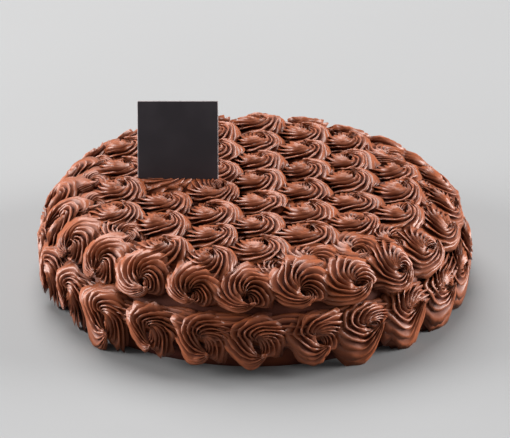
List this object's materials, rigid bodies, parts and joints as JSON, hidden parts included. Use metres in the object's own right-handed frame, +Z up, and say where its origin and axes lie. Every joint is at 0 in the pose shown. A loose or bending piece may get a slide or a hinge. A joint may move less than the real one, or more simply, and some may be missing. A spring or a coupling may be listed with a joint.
{
  "type": "layer cake",
  "caption": "Round chocolate layer cake, uncut, covered all over in piped star-tip rosettes of chocolate cream, with a square dark chocolate plaque stood in its top.",
  "frame": {"origin": "centre of the cake's flat base", "axes": "+Z up, +X to the viewer's right and -Y towards the viewer, in front of the plaque's face"},
  "size_m": [0.2733, 0.2737, 0.1112],
  "materials": {
    "chocolate_cream": "soft whipped cream, satin",
    "dark_chocolate": "smooth, slightly glossy"
  },
  "bodies": {
    "root": {"cake": "chocolate_cream", "plaque": "dark_chocolate"}
  },
  "joints": []
}
